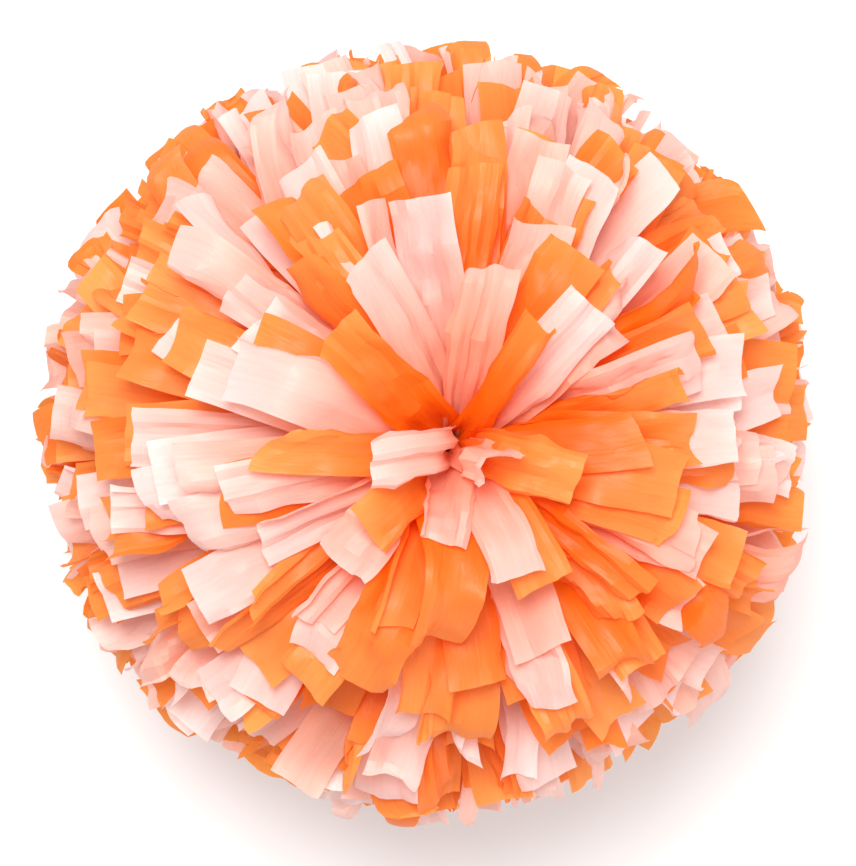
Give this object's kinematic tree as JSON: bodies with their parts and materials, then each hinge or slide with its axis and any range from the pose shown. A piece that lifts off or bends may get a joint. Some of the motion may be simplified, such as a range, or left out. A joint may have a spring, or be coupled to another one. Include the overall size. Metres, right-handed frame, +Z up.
{
  "type": "cheer pom pom",
  "caption": "Hand-held cheerleading pom pom: a full ball of orange and white plastic film strips gathered on both ends of a hidden straight grip.",
  "frame": {"origin": "middle of the footprint, on the surface that the pom stands on", "axes": "+Z up along the grip, from the lower burst to the upper one; +X and +Y through the middles of side tufts"},
  "size_m": [0.2474, 0.2474, 0.243],
  "materials": {
    "orange_film": "satin",
    "white_film": "satin",
    "white_plastic": "satin",
    "nylon": "satin",
    "zinc_steel": "satin"
  },
  "bodies": {
    "handle": {"grip_tube": "white_plastic", "upper_end_plug": "white_plastic", "upper_plug_screw_a": "zinc_steel", "upper_plug_screw_b": "zinc_steel", "upper_gathered_web": "white_film", "upper_cable_tie": "nylon", "upper_crown_tuft": "orange_film", "lower_end_plug": "white_plastic", "lower_plug_screw_a": "zinc_steel", "lower_plug_screw_b": "zinc_steel", "lower_gathered_web": "white_film", "lower_cable_tie": "nylon", "lower_crown_tuft": "white_film"},
    "upper_side_tuft_1": {"upper_side_tuft_1": "orange_film"},
    "upper_side_tuft_2": {"upper_side_tuft_2": "white_film"},
    "upper_side_tuft_3": {"upper_side_tuft_3": "orange_film"},
    "upper_side_tuft_4": {"upper_side_tuft_4": "white_film"},
    "upper_side_tuft_5": {"upper_side_tuft_5": "orange_film"},
    "upper_side_tuft_6": {"upper_side_tuft_6": "white_film"},
    "upper_side_tuft_7": {"upper_side_tuft_7": "orange_film"},
    "upper_side_tuft_8": {"upper_side_tuft_8": "white_film"},
    "lower_side_tuft_1": {"lower_side_tuft_1": "orange_film"},
    "lower_side_tuft_2": {"lower_side_tuft_2": "white_film"},
    "lower_side_tuft_3": {"lower_side_tuft_3": "orange_film"},
    "lower_side_tuft_4": {"lower_side_tuft_4": "white_film"},
    "lower_side_tuft_5": {"lower_side_tuft_5": "orange_film"},
    "lower_side_tuft_6": {"lower_side_tuft_6": "white_film"},
    "lower_side_tuft_7": {"lower_side_tuft_7": "orange_film"},
    "lower_side_tuft_8": {"lower_side_tuft_8": "white_film"}
  },
  "joints": [
    {"name": "upper_side_tuft_1_root", "type": "hinge", "parent": "handle", "child": "upper_side_tuft_1", "pos_m": [0.013, 0, 0.173], "axis": [0, -1, 0], "range_deg": [-6, 10], "stiffness_Nm_per_rad": 0.06},
    {"name": "upper_side_tuft_2_root", "type": "hinge", "parent": "handle", "child": "upper_side_tuft_2", "pos_m": [0.00919, 0.00919, 0.173], "axis": [0.7071, -0.7071, 0], "range_deg": [-6, 10], "stiffness_Nm_per_rad": 0.06},
    {"name": "upper_side_tuft_3_root", "type": "hinge", "parent": "handle", "child": "upper_side_tuft_3", "pos_m": [0, 0.013, 0.173], "axis": [1, 0, 0], "range_deg": [-6, 10], "stiffness_Nm_per_rad": 0.06},
    {"name": "upper_side_tuft_4_root", "type": "hinge", "parent": "handle", "child": "upper_side_tuft_4", "pos_m": [-0.00919, 0.00919, 0.173], "axis": [0.7071, 0.7071, 0], "range_deg": [-6, 10], "stiffness_Nm_per_rad": 0.06},
    {"name": "upper_side_tuft_5_root", "type": "hinge", "parent": "handle", "child": "upper_side_tuft_5", "pos_m": [-0.013, 0, 0.173], "axis": [0, 1, 0], "range_deg": [-6, 10], "stiffness_Nm_per_rad": 0.06},
    {"name": "upper_side_tuft_6_root", "type": "hinge", "parent": "handle", "child": "upper_side_tuft_6", "pos_m": [-0.00919, -0.00919, 0.173], "axis": [-0.7071, 0.7071, 0], "range_deg": [-6, 10], "stiffness_Nm_per_rad": 0.06},
    {"name": "upper_side_tuft_7_root", "type": "hinge", "parent": "handle", "child": "upper_side_tuft_7", "pos_m": [0, -0.013, 0.173], "axis": [-1, 0, 0], "range_deg": [-6, 10], "stiffness_Nm_per_rad": 0.06},
    {"name": "upper_side_tuft_8_root", "type": "hinge", "parent": "handle", "child": "upper_side_tuft_8", "pos_m": [0.00919, -0.00919, 0.173], "axis": [-0.7071, -0.7071, 0], "range_deg": [-6, 10], "stiffness_Nm_per_rad": 0.06},
    {"name": "lower_side_tuft_1_root", "type": "hinge", "parent": "handle", "child": "lower_side_tuft_1", "pos_m": [0.013, 0, 0.063], "axis": [0, 1, 0], "range_deg": [-6, 10], "stiffness_Nm_per_rad": 0.06},
    {"name": "lower_side_tuft_2_root", "type": "hinge", "parent": "handle", "child": "lower_side_tuft_2", "pos_m": [0.00919, -0.00919, 0.063], "axis": [0.7071, 0.7071, 0], "range_deg": [-6, 10], "stiffness_Nm_per_rad": 0.06},
    {"name": "lower_side_tuft_3_root", "type": "hinge", "parent": "handle", "child": "lower_side_tuft_3", "pos_m": [0, -0.013, 0.063], "axis": [1, 0, 0], "range_deg": [-6, 10], "stiffness_Nm_per_rad": 0.06},
    {"name": "lower_side_tuft_4_root", "type": "hinge", "parent": "handle", "child": "lower_side_tuft_4", "pos_m": [-0.00919, -0.00919, 0.063], "axis": [0.7071, -0.7071, 0], "range_deg": [-6, 10], "stiffness_Nm_per_rad": 0.06},
    {"name": "lower_side_tuft_5_root", "type": "hinge", "parent": "handle", "child": "lower_side_tuft_5", "pos_m": [-0.013, 0, 0.063], "axis": [0, -1, 0], "range_deg": [-6, 10], "stiffness_Nm_per_rad": 0.06},
    {"name": "lower_side_tuft_6_root", "type": "hinge", "parent": "handle", "child": "lower_side_tuft_6", "pos_m": [-0.00919, 0.00919, 0.063], "axis": [-0.7071, -0.7071, 0], "range_deg": [-6, 10], "stiffness_Nm_per_rad": 0.06},
    {"name": "lower_side_tuft_7_root", "type": "hinge", "parent": "handle", "child": "lower_side_tuft_7", "pos_m": [0, 0.013, 0.063], "axis": [-1, 0, 0], "range_deg": [-6, 10], "stiffness_Nm_per_rad": 0.06},
    {"name": "lower_side_tuft_8_root", "type": "hinge", "parent": "handle", "child": "lower_side_tuft_8", "pos_m": [0.00919, 0.00919, 0.063], "axis": [-0.7071, 0.7071, 0], "range_deg": [-6, 10], "stiffness_Nm_per_rad": 0.06}
  ]
}
